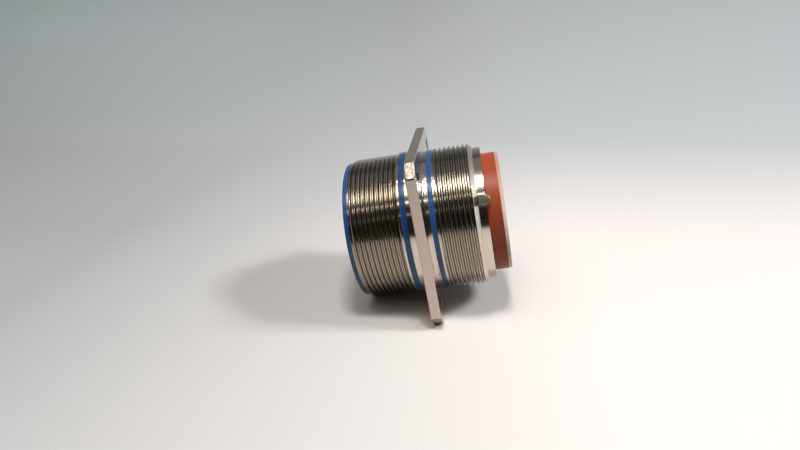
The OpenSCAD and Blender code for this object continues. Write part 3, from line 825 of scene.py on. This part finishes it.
# Far to the sides the paper goes over into the room's pale tone, so that no edge of it shows.
sideways = paper.span_mm(paper.total(paper_place["X"], 0.0, "ABSOLUTE"), 0.0, 1.0, SIDEWAYS_X)
paper.surface(
    Base_Color=paper.blend(seen, PAPER_FOR_LIGHT, painted_light_tone),
    Emission_Color=(*ROOM_PALE, 1.0),
    Emission_Strength=paper.total(sideways, seen, "MULTIPLY"),
    Roughness=0.9,
    Specular_IOR_Level=0.1,
    Normal=paper.relief(paper.noise(0.5, 3.0), 0.02, 0.3),
)
mesh = bpy.data.meshes.new("sweep")
mesh.from_pydata(
    (sweep_points.reshape(-1, 3) * MM).tolist(), [], grid_faces(len(wide), len(depth))[:, ::-1].tolist())
mesh.materials.append(paper.material)
mesh.shade_smooth()
sweep = bpy.data.objects.new("sweep", mesh)
bpy.context.scene.collection.objects.link(sweep)


# Light: a row of soft panels overhead, a little towards the camera and brightest at the right, with a hotter
# core under its middle; three thin tubes that draw fine lines on the threads; a small window at the far
# right, which throws the long shadow to the left; and a dim room that is pale to the right.
def panel_light(name, place, aim, width, length, watts, colour):
    """Rectangle of light at a place in metres, turned to face the aim, with its width along the connector."""
    lamp = bpy.data.lights.new(name, "AREA")
    lamp.shape, lamp.size, lamp.size_y = "RECTANGLE", width, length
    lamp.energy, lamp.color = watts, colour
    away = (Vector(place) - Vector(aim)).normalized()
    side = Vector((1, 0, 0)) - away * away.x
    side.normalize()
    up = away.cross(side)
    light = bpy.data.objects.new(name, lamp)
    light.matrix_world = Matrix.Translation(place) @ Matrix((side, up, away)).transposed().to_4x4()
    bpy.context.scene.collection.objects.link(light)


# Each row has a name, a place, a width, a length, a power in watts and a colour.
TUBE_WARM, CORE_WARM = (1.0, 0.94, 0.84), (1.0, 0.94, 0.83)
for name, place, width, length, watts, colour in (
    ("overhead_left", (-0.3675, -0.1475, 0.50), 0.465, 0.175, 0.28, TUBE_WARM),
    ("overhead_between", (-0.100, -0.1575, 0.50), 0.070, 0.205, 0.064, (1.0, 0.94, 0.85)),
    ("overhead_middle", (-0.017, -0.1625, 0.50), 0.095, 0.235, 0.135, (1.0, 0.95, 0.87)),
    ("core_between", (-0.100, -0.1850, 0.49), 0.070, 0.095, 0.044, CORE_WARM),
    ("core_middle", (-0.017, -0.1600, 0.49), 0.095, 0.120, 0.200, CORE_WARM),
    ("overhead_right", (0.090, -0.116, 0.50), 0.100, 0.10, 1.50, (1.0, 0.945, 0.90)),
    ("tube_near", (-0.059, -0.017, 0.495), 0.058, 0.018, 0.030, TUBE_WARM),
    ("tube_middle", (-0.06, -0.395, 0.495), 0.5, 0.018, 0.16, TUBE_WARM),
    ("tube_far", (-0.06, -0.770, 0.495), 0.5, 0.018, 0.035, TUBE_WARM),
):
    panel_light(name, place, (place[0], 0, 0), width, length, watts, colour)
panel_light("right_window", (0.74, -0.012, 0.51), (0, 0, 0), 0.14, 0.16, 4.5, (1.0, 0.98, 0.965))

ROOM_LEFT, ROOM_RIGHT, ROOM_FRONT = (0.14, 0.14, 0.14), (0.68, 0.74, 0.75), (0.010, 0.010, 0.008)
ROOM_FILL, ROOM_RIGHTWARD, ROOM_FRONTWARD = 0.62, (0.35, 0.9), (0.05, -0.30)
world = bpy.data.worlds.new("dim_room")
bpy.context.scene.world = world
world.use_nodes = True
room = Nodes(world.node_tree, "Generated")
toward = room.add("SeparateXYZ", {"Vector": room.place}).outputs
rightward = room.span(toward["X"], 0.0, 1.0, *ROOM_RIGHTWARD, rise="SMOOTHSTEP")
frontward = room.span(toward["Y"], 0.0, 1.0, *ROOM_FRONTWARD, rise="SMOOTHSTEP")
room_tone = room.blend(frontward, room.blend(rightward, ROOM_LEFT, ROOM_RIGHT), ROOM_FRONT)
straight = room.add("LightPath", {}).outputs["Is Camera Ray"]
background = room.tree.nodes["Background"]
room.put(background.inputs["Color"], room.blend(straight, room_tone, ROOM_PALE))
room.put(background.inputs["Strength"], room.total(room.looked_at(), ROOM_FILL))


# Camera: where the photograph was taken from, worked out from the flange's edges, the bands and the threads.
CAMERA_PLACE = (0.018741, -0.167951, 0.063169)
camera_data = bpy.data.cameras.new("camera")
camera_data.sensor_width, camera_data.lens = 36.0, 25.395
camera_data.clip_start, camera_data.clip_end = 0.005, 20.0
right = Vector((0.97739839, 0.10344043, -0.18437043))
down = Vector((-0.1339431, -0.37173013, -0.91862721))
forward = Vector((-0.16355924, 0.92255991, -0.3494733))
camera = bpy.data.objects.new("camera", camera_data)
turned_to = Matrix((right, -down, -forward)).transposed().to_4x4()
camera.matrix_world = Matrix.Translation(CAMERA_PLACE) @ turned_to
bpy.context.scene.collection.objects.link(camera)
bpy.context.scene.camera = camera
bpy.context.scene.view_settings.view_transform = "Standard"
